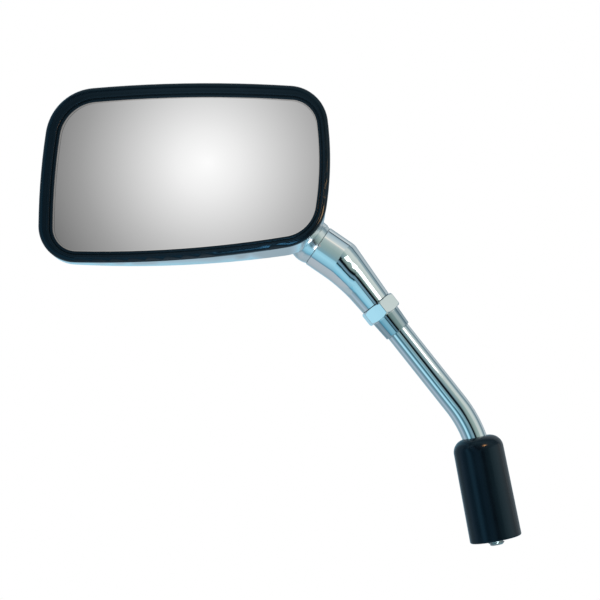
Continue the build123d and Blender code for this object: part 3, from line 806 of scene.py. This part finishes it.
def studio_world():
    """White to the camera, a banded studio to what shines, and even light to what is matt."""
    world = bpy.data.worlds.new("studio")
    bpy.context.scene.world = world
    world.use_nodes = True
    tree = world.node_tree
    tree.nodes.clear()
    ray = add_node(tree, "ShaderNodeLightPath").outputs
    way = add_node(tree, "ShaderNodeTexCoord").outputs["Generated"]
    turned = add_node(
        tree, "ShaderNodeMapping",
        {"Vector": way, "Rotation": (0, math.radians(STEM_LEAN), math.radians(90))},
        vector_type="VECTOR",
    )
    round_stem = add_node(
        tree, "ShaderNodeTexGradient", {"Vector": turned.outputs["Vector"]}, gradient_type="RADIAL"
    )
    seen_by = []
    for bands in (ROD_BANDS, LEG_BANDS, ELBOW_BANDS):
        ramp = add_node(tree, "ShaderNodeValToRGB", {"Fac": round_stem.outputs["Fac"]})
        set_ramp(ramp, [(0.5 + angle / 360, linear(code)) for angle, code in bands])
        seen_by.append(ramp.outputs["Color"])
    parts = add_node(tree, "ShaderNodeSeparateXYZ", {0: turned.outputs["Vector"]}).outputs
    tapered = add_node(
        tree, "ShaderNodeMapRange",
        {"Value": parts["Z"], "From Min": LEG_FADE[0], "From Max": LEG_FADE[1]},
    )
    straight = add_node(
        tree, "ShaderNodeMix",
        {"Factor": tapered.outputs["Result"], "A": seen_by[0], "B": seen_by[1]}, data_type="RGBA",
    )
    # the upper leg sees a leaning slice of the front half
    slice_off = add_node(
        tree, "ShaderNodeMath", {0: parts["Y"], 1: -ELBOW_LEAN, 2: parts["Z"]},
        operation="MULTIPLY_ADD",
    )
    off = add_node(tree, "ShaderNodeMath", {0: slice_off.outputs["Value"]}, operation="ABSOLUTE")
    leaning = add_node(
        tree, "ShaderNodeMapRange",
        {"Value": off.outputs["Value"], "From Min": SLICE_FADE[0], "From Max": SLICE_FADE[1]},
    )
    front = add_node(
        tree, "ShaderNodeMapRange",
        {"Value": parts["X"], "From Min": FRONT_FADE[0], "From Max": FRONT_FADE[1]},
    )
    share = add_node(
        tree, "ShaderNodeMath", {0: leaning.outputs["Result"], 1: front.outputs["Result"]},
        operation="MULTIPLY",
    )
    banded = add_node(
        tree, "ShaderNodeMix",
        {"Factor": share.outputs["Value"], "A": straight.outputs["Result"], "B": seen_by[2]},
        data_type="RGBA",
    )
    studio = add_node(
        tree, "ShaderNodeBackground", {"Color": banded.outputs["Result"], "Strength": 1.0}
    )
    even = add_node(
        tree, "ShaderNodeBackground", {"Color": linear(EVEN_TONE), "Strength": EVEN_LIGHT}
    )
    white = add_node(tree, "ShaderNodeBackground", {"Color": linear(WHITE), "Strength": 1.0})
    lit = add_node(
        tree, "ShaderNodeMixShader",
        {0: ray["Is Diffuse Ray"], 1: studio.outputs["Background"], 2: even.outputs["Background"]},
    )
    seen = add_node(
        tree, "ShaderNodeMixShader",
        {0: ray["Is Camera Ray"], 1: lit.outputs["Shader"], 2: white.outputs["Background"]},
    )
    add_node(tree, "ShaderNodeOutputWorld", {"Surface": seen.outputs["Shader"]})


# The floor: its side and the distances over which it fades (m), and its share of white at these
FLOOR_SIDE = 12
FLOOR_FADE = (0.2, 0.8)
FLOOR_WHITE = (0.45, 1.0)


def floor_material():
    """Pale matt floor that fades to plain white away from the object's shadow."""
    chosen = looks().stage
    material, tree, shader = new_material("pale_floor")
    shader.inputs["Base Color"].default_value = chosen.floor_tone
    shader.inputs["Roughness"].default_value = 0.9
    shader.inputs["Specular IOR Level"].default_value = 0.0
    ray = add_node(tree, "ShaderNodeLightPath").outputs["Is Camera Ray"]
    place = add_node(tree, "ShaderNodeTexCoord").outputs["Object"]
    away = add_node(tree, "ShaderNodeVectorMath", {0: place}, operation="LENGTH")
    fade = add_node(
        tree, "ShaderNodeMapRange",
        {
            "Value": away.outputs["Value"],
            "From Min": FLOOR_FADE[0], "From Max": FLOOR_FADE[1],
            "To Min": FLOOR_WHITE[0], "To Max": FLOOR_WHITE[1],
        },
    )
    share = add_node(
        tree, "ShaderNodeMath", {0: ray, 1: fade.outputs["Result"]}, operation="MULTIPLY"
    )
    glow = add_node(tree, "ShaderNodeEmission", {"Color": linear(WHITE), "Strength": 1.0})
    mixed = add_node(
        tree, "ShaderNodeMixShader",
        {0: share.outputs["Value"], 1: shader.outputs["BSDF"], 2: glow.outputs["Emission"]},
    )
    tree.links.new(mixed.outputs["Shader"], tree.nodes["Material Output"].inputs["Surface"])
    return material


# Softboxes: name, place, width, height (mm), power (W), tone, and the pieces they are kept to
SOFTBOXES = (
    ("key", (-500, -900, 900), 700, 700, 9.0, WHITE, ()),
    ("elbow_window", (562, -651, 244), 345, 170, 0.285, WHITE, ("arm_elbow",)),
    ("rod_window", (654, -467, 395), 260, 60, 0.078, WHITE, ("stem_rod",)),
    ("low_sky", (-60, -290, -125), 60, 180, 0.45, "#a4d8f4", ("rim_gasket",)),
    ("warm_side", (467, -350, -100), 150, 300, 5.0, "#ff9a5c", ("rim_gasket",)),
    ("warm_top", (383, -602, 604), 120, 120, 5.0, "#ff8a4a", ("rubber_boot",)),
    ("joint_glint", (60, -290, -125), 150, 150, 0.3, "#e6f6ff", ("plated_shell",)),
    ("stud_glint", (60, -290, -125), 150, 150, 1.2, "#e6f6ff", ("threaded_stud",)),
    ("boot_side", (591, -104, 30), 900, 300, 0.45, "#ffe9d8", ("rubber_boot",)),
)


def add_softbox(name, place, width, height, power, tone, kept_to):
    """An area lamp that looks at the middle of the mirror, its height along the rod."""
    lamp = bpy.data.lights.new(name, "AREA")
    lamp.shape = "RECTANGLE"
    lamp.size = width * MM
    lamp.size_y = height * MM
    lamp.energy = power
    lamp.color = linear(tone)[:3]
    box = bpy.data.objects.new(name, lamp)
    box.location = Vector(place) * MM
    middle = (Vector(CAD_BOX[0]) + Vector(CAD_BOX[1])) / 2
    out = (box.location - middle).normalized()
    across = STEM_AXIS.cross(out).normalized()
    box.rotation_euler = Matrix((across, out.cross(across), out)).transposed().to_euler()
    box.visible_camera = False
    box.visible_glossy = name != "key"
    bpy.context.scene.collection.objects.link(box)
    if kept_to:
        lit = bpy.data.collections.new(name)
        for piece in kept_to:
            lit.objects.link(bpy.data.objects[piece])
        box.light_linking.receiver_collection = lit


# The card before the glass, in mm across and up from the picture's middle: two corners and its
# bright spot, then its rounding, its distance before the stem and the spread of the spot
CARD_LOW = (-148, 16)
CARD_HIGH = (20, 122)
CARD_SPOT = (-45.6, 70.2)
CARD_CORNER = 36
CARD_CORNER_STEPS = 8
CARD_FORWARD = 80
CARD_SPREAD = 93.3
# from the edge of the spot to its middle
CARD_TONES = (
    (0.0, "#7c7c7c"),
    (0.25, "#a4a4a4"),
    (0.44, "#c1c1c1"),
    (0.63, "#dbdbdb"),
    (0.81, "#f0f0f0"),
    (1.0, WHITE),
)


def add_card(centre, right, up):
    """A pale card with a soft bright spot and one round corner, which only reflections see."""
    deselect()
    bpy.ops.mesh.primitive_plane_add(size=1)
    card = bpy.context.object
    card.name = "mirror_card"
    forward = Vector((0, -CARD_FORWARD * MM, 0))
    edit(card)
    bpy.ops.mesh.select_all(action="DESELECT")
    bpy.ops.object.mode_set(mode="OBJECT")
    for vertex in card.data.vertices:
        across = CARD_LOW[0] if vertex.co.x < 0 else CARD_HIGH[0]
        rise = CARD_LOW[1] if vertex.co.y < 0 else CARD_HIGH[1]
        vertex.select = across == CARD_HIGH[0] and rise == CARD_LOW[1]
        vertex.co = centre + (right * across + up * rise) * MM + forward
    bpy.ops.object.mode_set(mode="EDIT")
    bpy.ops.mesh.bevel(offset=CARD_CORNER * MM, segments=CARD_CORNER_STEPS, affect="VERTICES")
    bpy.ops.object.mode_set(mode="OBJECT")
    spot = centre + (right * CARD_SPOT[0] + up * CARD_SPOT[1]) * MM + forward
    material, tree = new_material("card")[:2]
    place = add_node(tree, "ShaderNodeTexCoord").outputs["Object"]
    spread = CARD_SPREAD * MM
    centred = add_node(
        tree, "ShaderNodeMapping",
        {"Vector": place, "Location": -spot / spread, "Scale": (1 / spread,) * 3},
    )
    near = add_node(
        tree, "ShaderNodeTexGradient", {"Vector": centred.outputs["Vector"]},
        gradient_type="SPHERICAL",
    )
    tones = add_node(tree, "ShaderNodeValToRGB", {"Fac": near.outputs["Fac"]})
    set_ramp(tones, [(nearness, linear(code)) for nearness, code in CARD_TONES])
    glow = add_node(tree, "ShaderNodeEmission", {"Color": tones.outputs["Color"], "Strength": 1.0})
    tree.links.new(glow.outputs["Emission"], tree.nodes["Material Output"].inputs["Surface"])
    card.data.materials.append(material)
    card.visible_camera = False
    card.visible_diffuse = False
    card.visible_shadow = False
    card.visible_transmission = False


# The point in the middle of the picture (mm), and the width of the camera's sensor
VIEW_CENTRE = (-71.9, 0, 118.7)
SENSOR_WIDTH = 36.0


class MIRROR_OT_stage(bpy.types.Operator):
    """Set up the floor, the light and the camera"""

    bl_idname = "mirror.stage"
    bl_label = "Stage"

    def execute(self, context):
        chosen = looks().stage
        scene = context.scene
        scene.view_settings.view_transform = "Standard"
        deselect()
        floor_height = CAD_BOX[0][2] - chosen.floor_drop
        bpy.ops.mesh.primitive_grid_add(x_subdivisions=8, y_subdivisions=8, size=FLOOR_SIDE)
        floor = context.object
        floor.name = "floor"
        middle_x = (CAD_BOX[0][0] + CAD_BOX[1][0]) / 2
        floor.location = (middle_x, 0, floor_height)
        floor.data.materials.append(floor_material())
        floor.visible_glossy = False
        studio_world()
        for softbox in SOFTBOXES:
            add_softbox(*softbox)
        roll = chosen.view_roll
        right = Vector((math.cos(roll), 0, -math.sin(roll)))
        up = Vector((math.sin(roll), 0, math.cos(roll)))
        centre = Vector(VIEW_CENTRE) * MM
        add_card(centre, right, up)
        lens = bpy.data.cameras.new("camera")
        lens.sensor_width = SENSOR_WIDTH
        lens.lens = lens.sensor_width * chosen.view_distance / chosen.view_width
        camera = bpy.data.objects.new("camera", lens)
        camera.location = centre - Vector((0, chosen.view_distance, 0))
        camera.rotation_euler = (math.radians(90), roll, 0)
        scene.collection.objects.link(camera)
        scene.camera = camera
        return {"FINISHED"}


class MIRROR_PT_panel(bpy.types.Panel):
    """Finishes of the mirror"""

    bl_label = "Motorcycle mirror"
    bl_idname = "MIRROR_PT_panel"
    bl_space_type = "VIEW_3D"
    bl_region_type = "UI"
    bl_category = "Mirror"

    def draw(self, context):
        for operator in OPERATORS:
            self.layout.operator(operator.bl_idname)


GROUPS = (ChromeLooks, RubberLooks, GlassLooks, StudSizes, StageLooks, MirrorLooks)
OPERATORS = (
    MIRROR_OT_chrome,
    MIRROR_OT_rubber,
    MIRROR_OT_glass,
    MIRROR_OT_hidden,
    MIRROR_OT_shell,
    MIRROR_OT_stud,
    MIRROR_OT_stage,
)
CLASSES = (*GROUPS, *OPERATORS, MIRROR_PT_panel)


def register():
    for item in CLASSES:
        bpy.utils.register_class(item)
    bpy.types.Scene.mirror_looks = PointerProperty(type=MirrorLooks)


def unregister():
    del bpy.types.Scene.mirror_looks
    for item in reversed(CLASSES):
        bpy.utils.unregister_class(item)


def main():
    register()
    bpy.ops.mirror.chrome()
    bpy.ops.mirror.rubber()
    bpy.ops.mirror.glass()
    bpy.ops.mirror.hidden()
    bpy.ops.mirror.shell()
    bpy.ops.mirror.stud()
    bpy.ops.mirror.stage()
    deselect()


if __name__ == "__main__":
    main()
